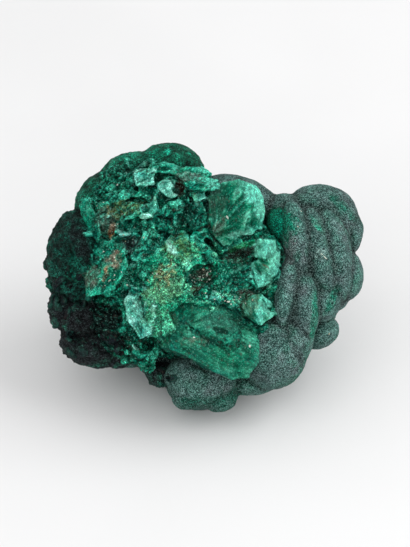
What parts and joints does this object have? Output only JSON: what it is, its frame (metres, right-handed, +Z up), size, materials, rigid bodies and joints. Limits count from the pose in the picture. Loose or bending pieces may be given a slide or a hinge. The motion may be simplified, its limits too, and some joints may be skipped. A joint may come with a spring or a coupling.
{
  "type": "malachite specimen",
  "caption": "Fist-sized botryoidal malachite lump: rounded velvety lobes all round, one side broken open into fibrous plates, wedges and granular ledges.",
  "frame": {"origin": "middle of the bounding box in X and Y, on the ground plane that the stone rests on", "axes": "+Z up as it rests, +X along its longest extent towards the folded lobes, -Y on the side where the broken face looks up and forward"},
  "size_m": [0.1068, 0.0746, 0.0797],
  "materials": {
    "malachite": "velvety crust of tiny crystals outside, fibrous and granular where it is broken"
  },
  "bodies": {
    "root": {"malachite": "malachite"}
  },
  "joints": []
}
